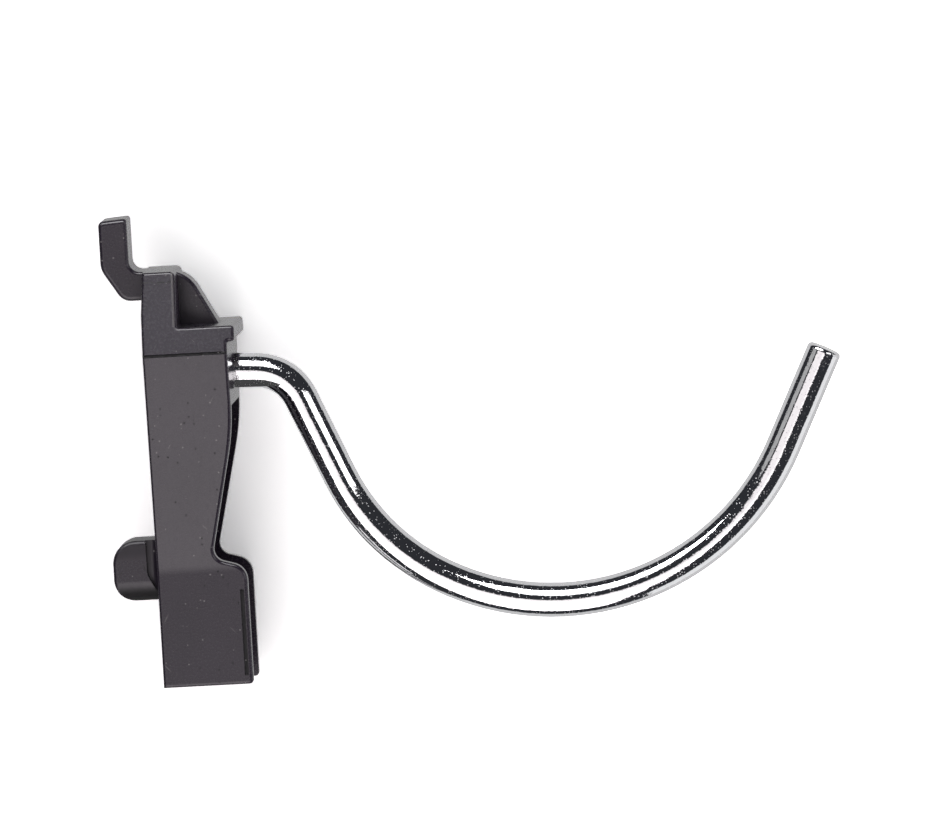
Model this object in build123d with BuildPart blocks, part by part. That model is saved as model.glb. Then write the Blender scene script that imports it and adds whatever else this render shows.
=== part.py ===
"""Power drill holder: a moulded carrier that hooks into a perforated panel, and its bent hook rod.

Millimetres. X points out of the panel, Z up, and Y = 0 is the plane of symmetry. The origin is on
the face of the panel, halfway between the two holes that the carrier hooks into.
"""
import os
from math import cos, radians, sin, tan

from build123d import *

os.makedirs("parts", exist_ok=True)

# Panel: square holes in a steel sheet
hole_pitch = 38.0
sheet_gap = 1.45             # the sheet and its clearance
tab_drop_clearance = 0.1     # the lock tab hangs this far above its hole's lower edge

# Hook finger and the shank that it stands on
finger_width = 8.0
finger_thickness = 3.6
finger_rise = 6.8            # above the shank
finger_top_fall = 0.25
finger_chamfer_width = 2.6
finger_chamfer_height = 4.1
finger_back_radius = 2.8     # where the chamfer meets the finger's back
finger_foot_radius = 1.9     # where it meets the shank
finger_round = 0.55          # side edges along the back and the foot
shank_height = 3.6
slot_radius = 1.4
finger_root = 1.0            # into the block

# Lock tab
tab_width = 7.4
tab_height = 7.7
tab_reach = 5.7
tab_corner = 2.9
tab_belly = 2.6              # round of the lower side, seen from the panel
tab_round = 0.5
tab_root = 1.0               # into the back wall
neck_inset = 0.6
neck_foot = 1.2
neck_slant_run = 1.1
neck_slant_rise = 2.2
neck_radius = 1.5
neck_run_out = 0.9           # radius from the neck into the panel face, over the neck's inset

# Top block, shelf, nose and pad
block_depth = 4.45
block_relief = 0.33
relief_start = 1.8           # above the shelf
block_corner = 0.7
shelf_drop = 7.0             # under the block's top
nose_overhang = 0.95         # past the pad
nose_thickness = 2.0
nose_corner = 0.45
pad_reach = 10.65
pad_height = 8.1
inner_corner = 0.3

# Web between block and shelf
web_thickness = 5.0
web_step = 0.15              # under the block's top
web_slope = 61.8             # degrees
web_foot = 9.3
web_radius = 4.2
web_root = 1.0               # into the block and the shelf

# Front of the body under the pad
body_height = 52.3
waist_inset = 3.65           # behind the pad
slope_lead = 2.9             # the pad runs straight this far past its lower edge
waist_drop = 36.3            # under the block's top
waist_radius = 1.6
front_run_in = 30.0          # radius between pad and slope
ramp_fall = 16.4             # degrees
shoulder_radius = 2.2
foot_overhang = 0.65         # past the pad
foot_corner = 0.45

# Walls of the channel
back_wall = 2.0
cheek = 1.8

# Widths
top_width = 13.6
crease_width = 20.0
foot_width = 13.1
crease_lead = 1.3            # under the nose
taper_end_radius = 7.0
edge_radius = 0.4

# Fine line at the crease, and the thin groove low on each cheek
crease_line = 0.35
crease_line_depth = 0.2
crease_line_inset = 0.75     # behind the pad
groove_length = 10.9
groove_width = 0.5
groove_depth = 0.25
groove_inset = 0.75
groove_lift = 1.1

# Hook rod
rod_diameter = 4.35
rod_fit = 0.02
rod_drop = 13.2              # axis at the pad, under the block's top
rod_droop = 3.4              # degrees
seat_wall = 2.6              # behind the rod's end
root_run = 3.0
root_radius = 6.15
root_turn = 63.3             # degrees
leg_run = 10.9
cradle_near_radius = 27.7
cradle_near_turn = 38.4      # degrees
cradle_far_radius = 31.8
cradle_far_turn = 92.2       # degrees
tip_run = 13.5
tip_round = 0.55
bore_lead = 0.5

# Levels and reaches that several features share
upper_edge = hole_pitch / 2  # lower edge of the upper hole, which the shank rests on
block_top = upper_edge + shank_height
shelf_top = block_top - shelf_drop
nose_bottom = shelf_top - nose_thickness
pad_bottom = nose_bottom - pad_height
crease = nose_bottom - crease_lead
nose_reach = pad_reach + nose_overhang
foot_reach = pad_reach + foot_overhang
waist_reach = pad_reach - waist_inset
bottom = block_top - body_height
tab_bottom = -hole_pitch / 2 + tab_drop_clearance
tab_top = tab_bottom + tab_height
rod_level = block_top - rod_drop
droop = radians(rod_droop)
rod_seat = (pad_reach - seat_wall) / cos(droop)
waist_level = block_top - waist_drop
slope_start = pad_bottom - slope_lead
ramp_end = waist_level - (foot_reach - waist_reach) * tan(radians(ramp_fall))
taper_end = ramp_end
web_top = block_top - web_step
web_head = web_foot - (web_top - shelf_top) / tan(radians(web_slope))
finger_top = block_top + finger_rise
finger_front = -sheet_gap
finger_back = finger_front - finger_thickness


def half_width(z):
    """Half of the carrier's width at a level: widest at the crease, narrower above and below."""
    if z > crease:
        share = (z - crease) / (block_top - crease)
        return (crease_width + share * (top_width - crease_width)) / 2
    share = min((crease - z) / (crease - taper_end), 1)
    return (crease_width + share * (foot_width - crease_width)) / 2


def symmetric_points(levels, wall=0.0):
    """Outline seen from the front: the half widths at the levels, less a wall, on both sides."""
    right = [(half_width(z) - wall, z) for z in levels]
    return right + [(-y, z) for y, z in reversed(right)]


def corners(sketch, *points):
    """The sketch's corners nearest to the given points."""
    return [sketch.vertices().sort_by_distance((x, z, 0))[0] for x, z in points]


def along_slot(edge):
    """Edges on the side of the finger and shank that the sheet lies against."""
    return edge.center().X > finger_front - 0.01 and edge.center().Z > block_top - 0.01


def outer_edges(part):
    """Edges around the side faces, without the creases between two of them."""
    sides = part.faces().filter_by(lambda face: abs(face.normal_at().Y) > 0.9)
    edges = [edge for face in sides for edge in face.edges()]
    return [edge for edge in edges if sum(edge.is_same(other) for other in edges) == 1]


# Shank and finger, moulded on the carrier
with BuildPart() as finger:
    with BuildSketch(Plane.XZ) as finger_side:
        with BuildLine():
            Polyline(
                (finger_root, upper_edge),
                (finger_back + finger_chamfer_width, upper_edge),
                (finger_back, upper_edge + finger_chamfer_height),
                (finger_back, finger_top - finger_top_fall),
                (finger_front, finger_top),
                (finger_front, block_top),
                (finger_root, block_top),
                close=True,
            )
        make_face()
        fillet(corners(finger_side, (finger_front, block_top)), slot_radius)
        chamfer_top = (finger_back, upper_edge + finger_chamfer_height)
        chamfer_foot = (finger_back + finger_chamfer_width, upper_edge)
        fillet(corners(finger_side, chamfer_top), finger_back_radius)
        fillet(corners(finger_side, chamfer_foot), finger_foot_radius)
        fillet(corners(finger_side, (finger_back, finger_top)), block_corner)
    extrude(amount=finger_width / 2, both=True)
    outer = finger.faces().filter_by(Axis.Y).edges().filter_by(along_slot, reverse=True)
    fillet(outer, finger_round)
    fillet(finger.faces().filter_by(Axis.Y).edges().filter_by(along_slot), edge_radius)

# Space of the two necks beside the tongue, round where they run out into the panel face
with BuildPart() as necks:
    side = tab_width / 2
    neck_corner = (-sheet_gap, tab_bottom + neck_foot + neck_slant_rise)
    with BuildSketch(Plane.XZ.offset(side), Plane.XZ.offset(-side)) as neck_side:
        with BuildLine():
            Polyline(
                (0, tab_top + tab_round),
                (-sheet_gap, tab_top + tab_round),
                neck_corner,
                (neck_slant_run - sheet_gap, tab_bottom + neck_foot),
                (0, tab_bottom + neck_foot),
                close=True,
            )
        make_face()
        fillet(corners(neck_side, neck_corner), neck_radius)
    extrude(amount=neck_inset, both=True)
    panel_edges = necks.edges().filter_by(Axis.Z).group_by(Axis.X)[-1]
    fillet(panel_edges.filter_by(lambda edge: abs(edge.center().Y) < side), neck_run_out)

# Lock tab, moulded on the carrier: a tongue with round corners, a round lower side and two necks
with BuildPart() as lock_tab:
    tab_middle = (tab_top + tab_bottom) / 2
    with BuildSketch(Plane.XZ) as tab_side:
        with Locations((tab_root, tab_middle)):
            Rectangle(tab_reach + tab_root, tab_height, align=(Align.MAX, Align.CENTER))
        fillet(corners(tab_side, (-tab_reach, tab_top), (-tab_reach, tab_bottom)), tab_corner)
    extrude(amount=tab_width / 2, both=True)
    fillet(lock_tab.faces().filter_by(Axis.Y).edges(), tab_round)
    with BuildSketch(Plane.YZ) as tab_front:
        with Locations((0, tab_middle)):
            Rectangle(tab_width, tab_height)
        lower_corners = [(y, tab_bottom) for y in (-tab_width / 2, tab_width / 2)]
        fillet(corners(tab_front, *lower_corners), tab_belly)
    extrude(amount=tab_reach + tab_root, both=True, mode=Mode.INTERSECT)
    add(necks.part, mode=Mode.SUBTRACT)

# Web from the block down to the shelf, moulded on the carrier
with BuildPart() as web:
    with BuildSketch(Plane.XZ) as web_side:
        with BuildLine():
            Polyline(
                (web_root, shelf_top - web_root),
                (web_root, web_top),
                (web_head, web_top),
                (web_foot, shelf_top),
                (web_foot, shelf_top - web_root),
                close=True,
            )
        make_face()
        fillet(corners(web_side, (web_head, web_top)), web_radius)
    extrude(amount=web_thickness / 2, both=True)
    fillet(web.faces().filter_by(Axis.Y).edges(), edge_radius)

# Carrier: one moulding
with BuildPart() as carrier:
    # Body: the side outline, cut to the widths seen from the front
    with BuildSketch(Plane.XZ) as body_side:
        with BuildLine():
            Polyline(
                (0, bottom),
                (0, shelf_top + relief_start),
                (block_relief, block_top),
                (block_depth, block_top),
                (block_depth, shelf_top),
                (nose_reach, shelf_top),
                (nose_reach, nose_bottom),
                (pad_reach, nose_bottom),
                (pad_reach, slope_start),
                (waist_reach, waist_level),
                (foot_reach, ramp_end),
                (foot_reach, bottom),
                close=True,
            )
        make_face()
        fillet(corners(body_side, (block_depth, block_top)), block_corner)
        fillet(corners(body_side, (block_depth, shelf_top), (pad_reach, nose_bottom)), inner_corner)
        fillet(corners(body_side, (nose_reach, shelf_top), (nose_reach, nose_bottom)), nose_corner)
        fillet(corners(body_side, (pad_reach, slope_start)), front_run_in)
        fillet(corners(body_side, (waist_reach, waist_level)), waist_radius)
        fillet(corners(body_side, (foot_reach, ramp_end)), shoulder_radius)
        fillet(corners(body_side, (foot_reach, bottom)), foot_corner)
    extrude(amount=crease_width / 2, both=True)
    with BuildSketch(Plane.YZ) as body_front:
        with BuildLine():
            Polyline(*symmetric_points([bottom, taper_end, crease, block_top]), close=True)
        make_face()
        taper_ends = [(y, taper_end) for y in (-foot_width / 2, foot_width / 2)]
        fillet(corners(body_front, *taper_ends), taper_end_radius)
    extrude(amount=nose_reach, mode=Mode.INTERSECT)
    fillet(outer_edges(carrier), edge_radius)

    # Channel, open at the front and at the bottom
    with BuildSketch(Plane.YZ.offset(back_wall)):
        with BuildLine():
            Polyline(*symmetric_points([bottom - 1, taper_end, pad_bottom], wall=cheek), close=True)
        make_face()
    extrude(amount=nose_reach, mode=Mode.SUBTRACT)

    # Web, finger and tab
    add(web.part)
    add(finger.part)
    add(lock_tab.part)

    # Fine line along the crease, on both sides
    side = half_width(crease)
    with BuildSketch(Plane.XZ.offset(side), Plane.XZ.offset(-side)):
        with Locations(((pad_reach - crease_line_inset) / 2, crease)):
            Rectangle(pad_reach - crease_line_inset, crease_line)
    extrude(amount=crease_line_depth, both=True, mode=Mode.SUBTRACT)

    # Thin groove low on each cheek
    side = foot_width / 2
    with BuildSketch(Plane.XZ.offset(side), Plane.XZ.offset(-side)):
        with Locations((foot_reach - groove_inset, bottom + groove_lift + groove_length / 2)):
            SlotOverall(groove_length, groove_width, rotation=90)
    extrude(amount=groove_depth, both=True, mode=Mode.SUBTRACT)

    # Blind bore for the rod, which starts just outside the pad
    bore_mouth = (pad_reach + bore_lead * cos(droop), 0, rod_level - bore_lead * sin(droop))
    with Locations(Plane(origin=bore_mouth, z_dir=(cos(droop), 0, -sin(droop)))):
        Hole(rod_diameter / 2 + rod_fit, depth=bore_lead + rod_seat)

# Hook rod: one bent length of bar, from the end of the bore to the tip
with BuildPart() as hook_rod:
    with BuildLine(Plane.XZ) as rod_path:
        seat_end = (pad_reach - rod_seat * cos(droop), rod_level + rod_seat * sin(droop))
        root = PolarLine(seat_end, length=rod_seat + root_run, angle=-rod_droop)
        bend = JernArc(root @ 1, root % 1, root_radius, -root_turn)
        leg = PolarLine(bend @ 1, length=leg_run, direction=bend % 1)
        near = JernArc(leg @ 1, leg % 1, cradle_near_radius, cradle_near_turn)
        far = JernArc(near @ 1, near % 1, cradle_far_radius, cradle_far_turn)
        tip = PolarLine(far @ 1, length=tip_run, direction=far % 1)
    with BuildSketch(Plane(origin=rod_path.wire() @ 0, z_dir=rod_path.wire() % 0)):
        Circle(rod_diameter / 2)
    sweep()
    tip_rim = hook_rod.edges().filter_by(GeomType.CIRCLE).sort_by(Axis.X)[-1]
    fillet(tip_rim, tip_round)

carrier.part.label = "carrier"
hook_rod.part.label = "hook_rod"
export_step(carrier.part, "parts/carrier.step")
export_step(hook_rod.part, "parts/hook_rod.step")
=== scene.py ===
"""Looks of a power drill holder: a moulded black carrier with a bent, chrome-plated hook rod.

Metres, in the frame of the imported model: X points out of the panel, Z up, and Y = 0 is the plane of
symmetry. The camera looks along +Y, at the side of the holder.
"""
import math

import bmesh
import bpy
from mathutils import Matrix, Vector


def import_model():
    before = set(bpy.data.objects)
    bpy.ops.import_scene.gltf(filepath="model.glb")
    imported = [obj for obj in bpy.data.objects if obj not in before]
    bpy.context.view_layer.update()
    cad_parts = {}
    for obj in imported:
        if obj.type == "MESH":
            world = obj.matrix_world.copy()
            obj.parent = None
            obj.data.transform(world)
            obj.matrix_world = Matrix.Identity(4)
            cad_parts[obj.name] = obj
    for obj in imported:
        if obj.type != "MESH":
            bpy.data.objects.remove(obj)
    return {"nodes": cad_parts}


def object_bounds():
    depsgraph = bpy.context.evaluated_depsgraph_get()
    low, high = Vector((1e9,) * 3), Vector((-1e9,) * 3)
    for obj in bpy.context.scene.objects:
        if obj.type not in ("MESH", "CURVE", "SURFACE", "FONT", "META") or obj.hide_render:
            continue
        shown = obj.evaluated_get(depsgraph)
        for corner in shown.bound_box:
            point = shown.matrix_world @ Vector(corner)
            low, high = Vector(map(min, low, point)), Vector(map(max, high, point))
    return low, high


MM = 0.001

# Camera, from the shift of the far edges in the photograph
camera_place = Vector((137.6, -1860.0, 133.1)) * MM
camera_aim = Vector((40.91, -10.0, 3.0)) * MM
camera_up = Vector((0.0576, 0.0, 0.9983))
camera_lens = 566.0
camera_sensor = 36.0
camera_clip = (0.1, 20.0)

# Card, floor and world
card_gap = 0.3 * MM          # between the holder's widest point and the card behind it
card_size = 1.6
card_white = 0.86
card_seen_white = 2.6        # white of the card for the camera, so that only its shadows show
floor_drop = 30 * MM         # under the holder's lowest point
floor_size = 6.0
floor_grey = 0.82
floor_roughness = 0.8
open_air = 0.35              # world level for soft shading
reflected_white = 0.86       # world level in reflections

# Dark studio, seen in reflections
surround_radius = 13.0
surround_edge = 17.0         # degrees behind the plane of the hook where it ends
surround_level = 0.034
surround_tint = (0.92, 0.97, 1.12, 1.0)

# Light panels stand in one plane in front of the holder; corners are (x, z) at a distance of 1.
# Each has a level for shading and one in reflections. A fade gives the heights between which the
# reflected level goes from the first value to the second.
panel_distance = 3.0
low_panel = [(-1.4, -5.0), (-1.07, -0.66), (-0.68, 0.28), (-0.38, 0.2), (-0.1, 0.06), (-0.03, 0.02),
             (0.1, -0.05), (0.2, -0.2), (0.21, -0.4), (0.23, -0.7), (0.28, -1.2), (0.5, -5.0)]
low_panel_levels = (1.0, (1.15, 2.9))
low_panel_fade = (-0.05, -0.36)
low_panel_tint = (1.035, 0.985, 0.99, 1.0)
top_panel = [(-0.9, 1.0), (-1.5, 1.4), (-1.5, 2.3), (0.45, 2.3), (0.45, 0.95), (0.15, 0.68),
             (-0.14, 0.56)]
top_panel_levels = (0.7, (1.7, 13.0))
top_panel_fade = (0.6, 1.3)
right_panel = [(0.56, -0.02), (0.56, 0.27), (2.2, 1.02), (2.2, 0.2)]
right_panel_levels = (0.5, 3.0)
lower_right_panel = [(0.24, -0.12), (0.56, -0.02), (2.2, 0.2), (1.1, -0.6)]
lower_right_panel_levels = (0.3, 0.35)
upper_left_panel = [(-0.95, 0.26), (-3.2, 1.0), (-3.2, 1.6), (-0.95, 0.55)]
upper_left_panel_levels = (0.4, 0.5)
key_panel = [(-1.0, -0.3), (-1.0, 0.5), (-0.2, 0.5), (-0.2, -0.3)]
key_panel_levels = (0.8, 0.0)

# Side panels stand round the plane of the hook: degrees in it, half length, reach along Y and level
left_strip = (215.0, 1.1, (0.0, 0.45), 1.2)
right_sheet = (-48.0, 1.5, (-0.75, 1.1), 1.0)
front_sheet = (-7.0, 0.7, (-0.75, 1.1), 0.9)
front_fill = (0.0, 1.4, (-1.6, 1.1), 2.2)

# Shaded places close to the rod that its reflections show, in millimetres: X and Z reach on the
# card behind its bend, and X and Y reach and height of the strip under its root
contact_shade = ((17.0, 24.0), (-60.0, 7.0))
contact_shade_level = 0.1
contact_shade_gap = 0.05 * MM
root_shade = ((10.7, 16.4), (-2.5, 9.8), 7.2)
root_shade_level = 0.07

# Moulding
moulding_deep = (0.0195, 0.0135, 0.025, 1)
moulding_pale = (0.0255, 0.0185, 0.0315, 1)
# Colour of painted shade, and of dark pits
shade_and_dirt_colour = (0.004, 0.0035, 0.005, 1)
# Colour and cover of dust and of the painted edge highlight
dust_and_highlight_colour = (0.28, 0.265, 0.27, 1)
dust_and_highlight_cover = 0.7
moulding_polish = (0.22, 0.31)
# Roughness added where shade is painted and on pits
shade_and_dirt_roughness = 0.4
# Painted shade in recesses: reach of the occlusion and how much it darkens
recess_reach = 3.0 * MM
recess_shade_strength = 0.6

# Painted shade lines and a painted highlight on the carrier's side faces, from which the finger, the tab
# and the web are left out
side_face = (0.05 * MM, 11.0 * MM)   # X reach
side_face_out = 5.5 * MM             # least distance from the plane of symmetry
crease_level = 12.3 * MM
crease_half = 0.175 * MM
crease_end = 10.55 * MM
crease_tilt = 0.24 * MM
block_line_level = 21.35 * MM
block_line_half = 0.12 * MM
block_edge = 4.09 * MM               # middle of the painted highlight along the block's upright edge
block_edge_half = 0.13 * MM
block_edge_foot = (15.6 * MM, 16.0 * MM)
groove_middle = (10.55 * MM, -23.15 * MM)
groove_half = (0.24 * MM, 5.4 * MM)

# Painted shade on the top and underside of the lock tab, left of tab_start in X and below the finger in Z.
# Each pair is the two places between which the shade sets in.
tab_start = (-0.1 * MM, -0.3 * MM)
tab_under = (-16.3 * MM, -17.9 * MM)
tab_over = (-14.0 * MM, -12.6 * MM)
tab_over_shade = 0.45
below_finger = (10.0 * MM, 8.0 * MM)

# Plating
plating_colour = (0.76, 0.76, 0.78, 1)
plating_polish = (0.03, 0.08)
plating_pit_roughness = 0.34
ripple_depth = 0.028 * MM


def join_inputs(tree, node, inputs):
    """Sets a node's inputs to values, or links them to sockets."""
    for name, value in inputs.items():
        if isinstance(value, bpy.types.NodeSocket):
            tree.links.new(value, node.inputs[name])
        else:
            node.inputs[name].default_value = value
    return node


def add_node(tree, kind, inputs=None, **settings):
    """One shader node with its settings and inputs."""
    node = tree.nodes.new(kind)
    for name, value in settings.items():
        setattr(node, name, value)
    return join_inputs(tree, node, inputs or {})


def maths(tree, operation, first, second=0.0):
    """Output of a Math node."""
    return add_node(tree, "ShaderNodeMath", {0: first, 1: second}, operation=operation).outputs[0]


def product(tree, first, *others):
    """Several values multiplied: where each mask is set."""
    for other in others:
        first = maths(tree, "MULTIPLY", first, other)
    return first


def most(tree, first, *others):
    """The largest of several values: where any mask is set."""
    for other in others:
        first = maths(tree, "MAXIMUM", first, other)
    return first


def ramp(tree, factor, low, high, start=0.0, end=1.0):
    """Output of a Map Range node that goes smoothly from start to end between low and high."""
    return add_node(
        tree, "ShaderNodeMapRange",
        {"Value": factor, "From Min": low, "From Max": high, "To Min": start, "To Max": end},
        interpolation_type="SMOOTHSTEP",
    ).outputs["Result"]


def switch(tree, choice, off, on):
    """Output of a Map Range node that gives one of two values."""
    return add_node(
        tree, "ShaderNodeMapRange",
        {"Value": choice, "From Min": 0.0, "From Max": 1.0, "To Min": off, "To Max": on},
    ).outputs["Result"]


def band(tree, value, middle, half, soft):
    """Mask that is 1 within a half width of a middle value."""
    away = maths(tree, "ABSOLUTE", maths(tree, "SUBTRACT", value, middle))
    return ramp(tree, away, half + soft, half - soft)


def mix_colour(tree, factor, first, second):
    """Output of a Mix node between two colours."""
    return add_node(
        tree, "ShaderNodeMix", {"Factor": factor, "A": first, "B": second}, data_type="RGBA",
    ).outputs["Result"]


def noise(tree, place, per_metre, **more):
    """Output of a noise texture; more inputs are given by name."""
    inputs = {"Vector": place, "Scale": per_metre}
    inputs.update({name.capitalize(): value for name, value in more.items()})
    return add_node(tree, "ShaderNodeTexNoise", inputs).outputs["Fac"]


def chosen_cells(tree, place, per_metre, share):
    """Distance from the nearest cell's middle, and a mask of the share of cells that is chosen."""
    cells = add_node(tree, "ShaderNodeTexVoronoi", {"Vector": place, "Scale": per_metre}, feature="F1")
    pick = add_node(tree, "ShaderNodeSeparateColor", {"Color": cells.outputs["Color"]}).outputs["Red"]
    return cells.outputs["Distance"], maths(tree, "LESS_THAN", pick, share)


def new_group(name, numbers, outputs):
    """Empty shader group that takes a place and named numbers, and its input and output nodes."""
    group = bpy.data.node_groups.new(name, "ShaderNodeTree")
    group.interface.new_socket("Vector", in_out="INPUT", socket_type="NodeSocketVector")
    for socket, value in numbers.items():
        made = group.interface.new_socket(socket, in_out="INPUT", socket_type="NodeSocketFloat")
        made.default_value = value
    for socket in outputs:
        group.interface.new_socket(socket, in_out="OUTPUT", socket_type="NodeSocketFloat")
    return group, group.nodes.new("NodeGroupInput").outputs, group.nodes.new("NodeGroupOutput")


def use_group(tree, group, place, **numbers):
    """Outputs of a group placed in a material, with numbers named like its sockets."""
    node = add_node(tree, "ShaderNodeGroup", node_tree=group)
    inputs = {name.replace("_", " ").capitalize(): value for name, value in numbers.items()}
    return join_inputs(tree, node, {"Vector": place, **inputs}).outputs


def specks_group():
    """Small scattered specks: a mask of dots that cover a share of the surface."""
    group, given, out = new_group("specks", {"Per metre": 500.0, "Size": 0.1, "Share": 0.2}, ["Mask"])
    distance, chosen = chosen_cells(group, given["Vector"], given["Per metre"], given["Share"])
    dot = ramp(group, distance, given["Size"], maths(group, "MULTIPLY", given["Size"], 0.5))
    group.links.new(product(group, dot, chosen), out.inputs["Mask"])
    return group


def grain_group():
    """Fine uneven grain: a height, and a slow variation of tone."""
    group, given, out = new_group("grain", {"Per metre": 3000.0}, ["Height", "Tone"])
    fine = noise(group, given["Vector"], given["Per metre"], detail=4.0, roughness=0.6)
    slow = noise(group, given["Vector"], maths(group, "MULTIPLY", given["Per metre"], 0.04), detail=3.0)
    group.links.new(fine, out.inputs["Height"])
    group.links.new(slow, out.inputs["Tone"])
    return group


def scratches_group():
    """Short fine scratches that lie one way: a mask."""
    group, given, out = new_group("scratches", {"Turn": 0.0, "Share": 0.1}, ["Mask"])
    turned = add_node(
        group, "ShaderNodeVectorRotate", {"Vector": given["Vector"], "Angle": given["Turn"]},
        rotation_type="Y_AXIS",
    ).outputs["Vector"]
    drawn = add_node(
        group, "ShaderNodeVectorMath", {0: turned, 1: (2600.0, 2600.0, 300.0)}, operation="MULTIPLY",
    ).outputs["Vector"]
    distance, chosen = chosen_cells(group, drawn, 1.0, given["Share"])
    line = ramp(group, distance, 0.26, 0.08)
    group.links.new(product(group, line, chosen), out.inputs["Mask"])
    return group


def new_material(name):
    """Material with an empty node tree and its output node."""
    material = bpy.data.materials.new(name)
    material.use_nodes = True
    material.node_tree.nodes.clear()
    return material, material.node_tree, material.node_tree.nodes.new("ShaderNodeOutputMaterial")


def side_face_mask(tree, at):
    """Mask of the carrier's side faces, without the finger, the tab and the web."""
    start, end = side_face
    return product(
        tree,
        maths(tree, "GREATER_THAN", maths(tree, "ABSOLUTE", at["Y"]), side_face_out),
        maths(tree, "GREATER_THAN", at["X"], start),
        maths(tree, "LESS_THAN", at["X"], end),
    )


def crease_mask(tree, at, on_side):
    """Mask of the fine groove along the crease of a side face, where shade is painted."""
    line = band(tree, at["Z"], crease_level, crease_half, 0.02 * MM)
    return product(tree, line, on_side, maths(tree, "LESS_THAN", at["X"], crease_end))


def carrier_shade_and_dirt_marks(tree, place, at, on_side, crease, pits):
    """Mask of painted shade in the block line, crease, groove, lock tab and recesses, and of dark pits."""
    dashes = ramp(tree, noise(tree, place, 1400.0, detail=1.0), 0.42, 0.5)
    # Painted shade of a fine dashed groove across the block
    block_line = product(
        tree, band(tree, at["Z"], block_line_level, block_line_half, 0.06 * MM), on_side, dashes,
    )
    # Painted shade in the groove low on each cheek
    groove = product(
        tree,
        band(tree, at["X"], groove_middle[0], groove_half[0], 0.04 * MM),
        band(tree, at["Z"], groove_middle[1], groove_half[1], 0.1 * MM),
        on_side,
    )
    # Painted shade on the top and underside of the lock tab
    shaded = most(
        tree, ramp(tree, at["Z"], *tab_under), ramp(tree, at["Z"], *tab_over, 0.0, tab_over_shade),
    )
    tab = product(tree, shaded, ramp(tree, at["X"], *tab_start), ramp(tree, at["Z"], *below_finger))
    # Painted shade in recesses, darker where ambient occlusion finds nearby surfaces
    open_sky = add_node(
        tree, "ShaderNodeAmbientOcclusion", {"Distance": recess_reach}, samples=8, only_local=True,
    ).outputs["AO"]
    recess = maths(tree, "MULTIPLY", ramp(tree, open_sky, 0.9, 0.3), recess_shade_strength)
    return most(tree, block_line, crease, groove, tab, pits, recess)


def carrier_dust_and_highlight_marks(tree, at, on_side, dust, scored):
    """Mask of dust, scratches and a painted highlight along the block's edge."""
    # Painted highlight along the block's upright edge
    edge_highlight = product(
        tree, band(tree, at["X"], block_edge, block_edge_half, 0.06 * MM),
        ramp(tree, at["Z"], *block_edge_foot), on_side, 0.7,
    )
    return most(tree, dust, maths(tree, "MULTIPLY", scored, 0.45), edge_highlight)


def moulding_material(grain, specks, scratches):
    """Semi-gloss black moulding with fine grain, dust, light scratches and pits, painted shade in its
    recesses and creases, and a painted edge highlight.
    """
    material, tree, out = new_material("black_moulding")
    place = add_node(tree, "ShaderNodeTexCoord").outputs["Object"]
    at = add_node(tree, "ShaderNodeSeparateXYZ", {"Vector": place}).outputs
    skin = use_group(tree, grain, place, per_metre=3200.0)
    dust = use_group(tree, specks, place, per_metre=2100.0, size=0.3, share=0.055)["Mask"]
    pits = use_group(tree, specks, place, per_metre=1700.0, size=0.26, share=0.06)["Mask"]
    steep = use_group(tree, scratches, place, turn=-0.5, share=0.03)["Mask"]
    flat = use_group(tree, scratches, place, turn=0.75, share=0.02)["Mask"]
    on_side = side_face_mask(tree, at)
    crease = crease_mask(tree, at, on_side)
    shade_and_dirt_marks = carrier_shade_and_dirt_marks(tree, place, at, on_side, crease, pits)
    dust_and_highlight_marks = carrier_dust_and_highlight_marks(tree, at, on_side, dust, most(tree, steep, flat))
    tone = mix_colour(tree, ramp(tree, skin["Tone"], 0.3, 0.7), moulding_deep, moulding_pale)
    # Painted shade in the crease, grooves, recesses and on the lock tab, and dark pits, darken the tone
    shaded_and_soiled = mix_colour(tree, shade_and_dirt_marks, tone, shade_and_dirt_colour)
    # Dust, scratches and the painted edge highlight lighten the colour
    colour = mix_colour(tree, maths(tree, "MULTIPLY", dust_and_highlight_marks, dust_and_highlight_cover), shaded_and_soiled, dust_and_highlight_colour)
    # The floor of the crease tilts up
    fold = maths(tree, "MULTIPLY", maths(tree, "SUBTRACT", crease_level, at["Z"]), crease)
    crease_bump = add_node(
        tree, "ShaderNodeBump",
        {"Height": maths(tree, "DIVIDE", fold, MM), "Strength": 1.0, "Distance": crease_tilt},
    )
    bump = add_node(
        tree, "ShaderNodeBump",
        {"Height": skin["Height"], "Strength": 0.17, "Distance": 0.05 * MM,
         "Normal": crease_bump.outputs["Normal"]},
    )
    polish = ramp(tree, skin["Height"], 0.2, 0.8, *moulding_polish)
    shader = add_node(
        tree, "ShaderNodeBsdfPrincipled",
        {"Base Color": colour,
         "Roughness": maths(tree, "ADD", polish, maths(tree, "MULTIPLY", shade_and_dirt_marks, shade_and_dirt_roughness)),
         "IOR": 1.5, "Normal": bump.outputs["Normal"]},
    )
    tree.links.new(shader.outputs["BSDF"], out.inputs["Surface"])
    return material


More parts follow.
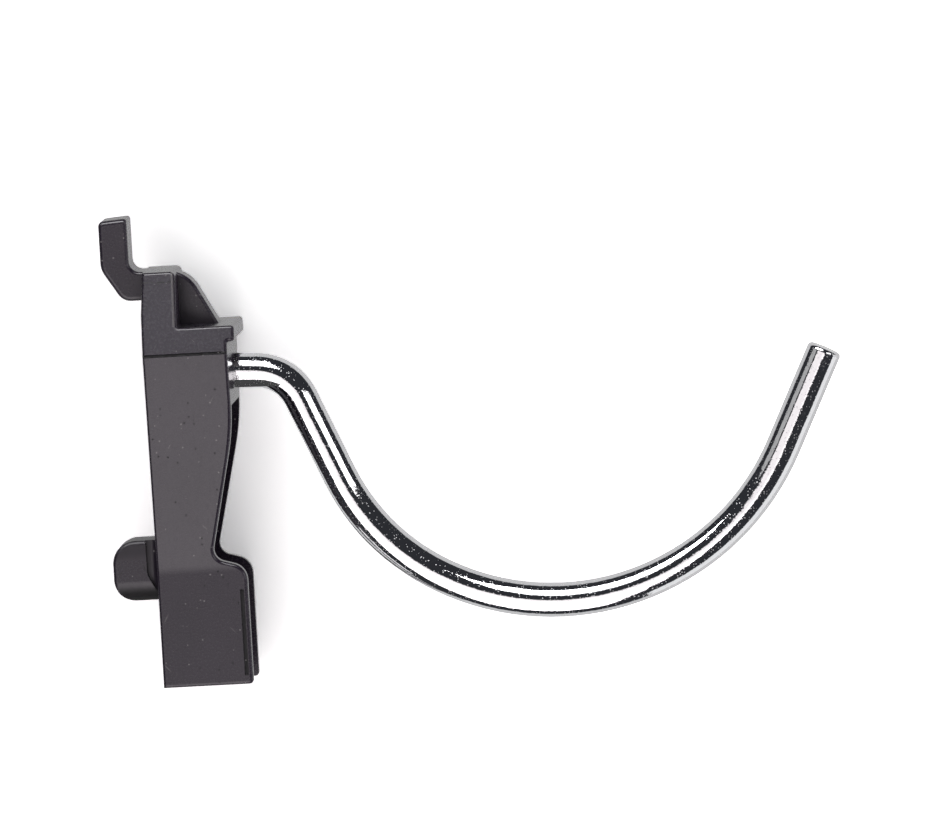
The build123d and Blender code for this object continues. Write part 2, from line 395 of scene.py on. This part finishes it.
def plating_material(grain, specks):
    """Bright chrome plating over drawn bar, with slight ripples and small pits."""
    material, tree, out = new_material("chrome_plating")
    place = add_node(tree, "ShaderNodeTexCoord").outputs["Object"]
    skin = use_group(tree, grain, place, per_metre=3600.0)
    pits = use_group(tree, specks, place, per_metre=3400.0, size=0.4, share=0.45)["Mask"]
    ripple = noise(tree, place, 560.0, detail=3.0, roughness=0.55)
    height = maths(tree, "ADD", ripple, maths(tree, "MULTIPLY", skin["Height"], 0.1))
    bump = add_node(tree, "ShaderNodeBump", {"Height": height, "Strength": 1.0, "Distance": ripple_depth})
    polish = ramp(tree, skin["Height"], 0.3, 0.7, *plating_polish)
    shader = add_node(
        tree, "ShaderNodeBsdfPrincipled",
        {"Base Color": plating_colour, "Metallic": 1.0,
         "Roughness": maths(tree, "ADD", polish, maths(tree, "MULTIPLY", pits, plating_pit_roughness)),
         "Normal": bump.outputs["Normal"]},
    )
    tree.links.new(shader.outputs["BSDF"], out.inputs["Surface"])
    return material


def dress(node, material):
    """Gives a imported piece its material."""
    node.data.materials.clear()
    node.data.materials.append(material)


def place_stage(name, bm, material, *rays):
    """A piece of the stage from a finished bmesh, shown to the named kinds of ray only."""
    mesh = bpy.data.meshes.new(name)
    bm.to_mesh(mesh)
    bm.free()
    mesh.materials.append(material)
    made = bpy.data.objects.new(name, mesh)
    bpy.context.scene.collection.objects.link(made)
    for kind in ("camera", "diffuse", "glossy", "transmission", "volume_scatter", "shadow"):
        setattr(made, "visible_" + kind, kind in rays)


def stage_face(name, corners, material, *rays):
    """One flat face of the stage, from its corners."""
    bm = bmesh.new()
    bm.faces.new([bm.verts.new(corner) for corner in corners])
    place_stage(name, bm, material, *rays)


def card_material():
    """White card: its shadows show to the camera, and it is open from behind and to reflections."""
    material, tree, out = new_material("white_card")
    path = add_node(tree, "ShaderNodeLightPath").outputs
    behind = add_node(tree, "ShaderNodeNewGeometry").outputs["Backfacing"]
    passed = most(tree, behind, path["Is Glossy Ray"], path["Is Shadow Ray"])
    white = switch(tree, path["Is Camera Ray"], card_white, card_seen_white)
    paper = add_node(tree, "ShaderNodeBsdfDiffuse", {"Color": white})
    clear = add_node(tree, "ShaderNodeBsdfTransparent")
    mixed = add_node(tree, "ShaderNodeMixShader", {0: passed, 1: paper.outputs[0], 2: clear.outputs[0]})
    tree.links.new(mixed.outputs[0], out.inputs["Surface"])
    return material


def floor_material():
    """Plain pale floor."""
    material, tree, out = new_material("pale_floor")
    paint = add_node(
        tree, "ShaderNodeBsdfPrincipled",
        {"Base Color": (floor_grey, floor_grey, floor_grey, 1), "Roughness": floor_roughness},
    )
    tree.links.new(paint.outputs[0], out.inputs["Surface"])
    return material


def glow_material(name, level, shine, fade=None, tint=None):
    """Light from the front of a panel, at one level for shading and another in reflections."""
    material, tree, out = new_material(name)
    behind = add_node(tree, "ShaderNodeNewGeometry").outputs["Backfacing"]
    front = maths(tree, "SUBTRACT", 1.0, behind)
    mirrored = add_node(tree, "ShaderNodeLightPath").outputs["Is Glossy Ray"]
    if fade:
        place = add_node(tree, "ShaderNodeTexCoord").outputs["Object"]
        height = add_node(tree, "ShaderNodeSeparateXYZ", {"Vector": place}).outputs["Z"]
        start, end = (value * panel_distance for value in fade)
        shine = ramp(tree, height, start, end, *shine)
    strength = product(tree, front, switch(tree, mirrored, level, shine))
    glow = add_node(tree, "ShaderNodeEmission", {"Strength": strength})
    if tint:
        glow.inputs["Color"].default_value = tint
    tree.links.new(glow.outputs[0], out.inputs["Surface"])
    return material


def light_panel(name, corners, levels, *rays, fade=None, tint=None):
    """A soft light panel in the plane in front of the holder, not seen by the camera."""
    stage_face(
        name, [(x * panel_distance, -panel_distance, z * panel_distance) for x, z in corners],
        glow_material(name, *levels, fade, tint), *(rays or ("diffuse", "glossy", "transmission")),
    )


def side_panel(name, form, rays):
    """A panel beside the holder that shows to one kind of ray."""
    angle, half, (near, far), level = form
    out = Vector((math.cos(math.radians(angle)), 0, math.sin(math.radians(angle)))) * panel_distance
    along = Vector((out.z, 0, -out.x)).normalized() * half
    corners = [out - along + Vector((0, near, 0)), out - along + Vector((0, far, 0)),
               out + along + Vector((0, far, 0)), out + along + Vector((0, near, 0))]
    stage_face(name, corners, glow_material(name, level, level), rays)


def close_shades(back):
    """Shaded places behind the bend of the rod and under its root, seen in reflections."""
    (left, right), (low, high) = contact_shade
    depth = back - contact_shade_gap
    corners = [(x * MM, depth, z * MM) for x, z in ((left, low), (right, low), (right, high), (left, high))]
    stage_face(
        "contact_shade", corners,
        glow_material("contact_shade", contact_shade_level, contact_shade_level), "glossy",
    )
    (left, right), (front, rear), level = root_shade
    corners = [Vector((x, y, level)) * MM
               for x, y in ((left, front), (right, front), (right, rear), (left, rear))]
    stage_face(
        "root_shade", corners, glow_material("root_shade", root_shade_level, root_shade_level), "glossy",
    )


def dark_surround():
    """Dark studio round the camera's side, seen only in reflections."""
    bm = bmesh.new()
    bmesh.ops.create_uvsphere(bm, u_segments=48, v_segments=24, radius=surround_radius)
    edge = surround_radius * math.sin(math.radians(surround_edge))
    bmesh.ops.bisect_plane(
        bm, geom=bm.verts[:] + bm.edges[:] + bm.faces[:], plane_co=(0, edge, 0), plane_no=(0, 1, 0),
        clear_outer=True,
    )
    material, tree, out = new_material("dark_surround")
    dim = add_node(tree, "ShaderNodeEmission", {"Color": surround_tint, "Strength": surround_level})
    tree.links.new(dim.outputs[0], out.inputs["Surface"])
    place_stage("dark_surround", bm, material, "glossy")


def world():
    """White behind everything for the camera and in reflections, and an even level for shading."""
    made = bpy.data.worlds.new("studio")
    bpy.context.scene.world = made
    made.use_nodes = True
    tree = made.node_tree
    tree.nodes.clear()
    path = add_node(tree, "ShaderNodeLightPath").outputs
    seen = most(tree, path["Is Camera Ray"], path["Is Glossy Ray"], path["Is Transmission Ray"])
    level = switch(tree, seen, open_air, 1.0)
    mirrored = maths(tree, "MULTIPLY", path["Is Glossy Ray"], reflected_white - 1.0)
    sky = add_node(tree, "ShaderNodeBackground", {"Strength": maths(tree, "ADD", level, mirrored)})
    out = tree.nodes.new("ShaderNodeOutputWorld")
    tree.links.new(sky.outputs[0], out.inputs["Surface"])


def camera():
    """Camera at the photograph's place, turned with its slight roll."""
    data = bpy.data.cameras.new("camera")
    data.lens = camera_lens
    data.sensor_width = camera_sensor
    data.clip_start, data.clip_end = camera_clip
    made = bpy.data.objects.new("camera", data)
    bpy.context.scene.collection.objects.link(made)
    forward = (camera_aim - camera_place).normalized()
    right = forward.cross(camera_up).normalized()
    turn = Matrix((right, right.cross(forward), -forward)).transposed().to_4x4()
    made.matrix_world = Matrix.Translation(camera_place) @ turn
    bpy.context.scene.camera = made


def stage(low, high):
    """Card behind the holder, floor under it, light panels, dark surround and world."""
    half = card_size / 2
    middle = (low + high) / 2
    back = high.y + card_gap
    ground = low.z - floor_drop
    left, right, top = middle.x - half, middle.x + half, middle.z + half
    stage_face(
        "backdrop_card",
        [(left, back, ground), (right, back, ground), (right, back, top), (left, back, top)],
        card_material(), "camera", "diffuse", "glossy", "transmission", "shadow",
    )
    half = floor_size / 2
    stage_face(
        "floor", [(x * half, y * half, ground) for x, y in ((-1, -1), (1, -1), (1, 1), (-1, 1))],
        floor_material(), "camera",
    )
    light_panel("low_panel", low_panel, low_panel_levels, fade=low_panel_fade, tint=low_panel_tint)
    light_panel("top_panel", top_panel, top_panel_levels, fade=top_panel_fade)
    light_panel("right_panel", right_panel, right_panel_levels)
    light_panel("lower_right_panel", lower_right_panel, lower_right_panel_levels)
    light_panel("upper_left_panel", upper_left_panel, upper_left_panel_levels)
    light_panel("key_panel", key_panel, key_panel_levels, "diffuse", "transmission")
    side_panel("left_strip", left_strip, "glossy")
    side_panel("right_sheet", right_sheet, "glossy")
    side_panel("front_sheet", front_sheet, "glossy")
    side_panel("front_fill", front_fill, "diffuse")
    close_shades(back)
    dark_surround()
    world()


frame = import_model()
cad_low, cad_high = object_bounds()

grain = grain_group()
specks = specks_group()
scratches = scratches_group()
dress(frame["nodes"]["carrier"], moulding_material(grain, specks, scratches))
dress(frame["nodes"]["hook_rod"], plating_material(grain, specks))

stage(cad_low, cad_high)
camera()
bpy.context.scene.view_settings.view_transform = "Standard"
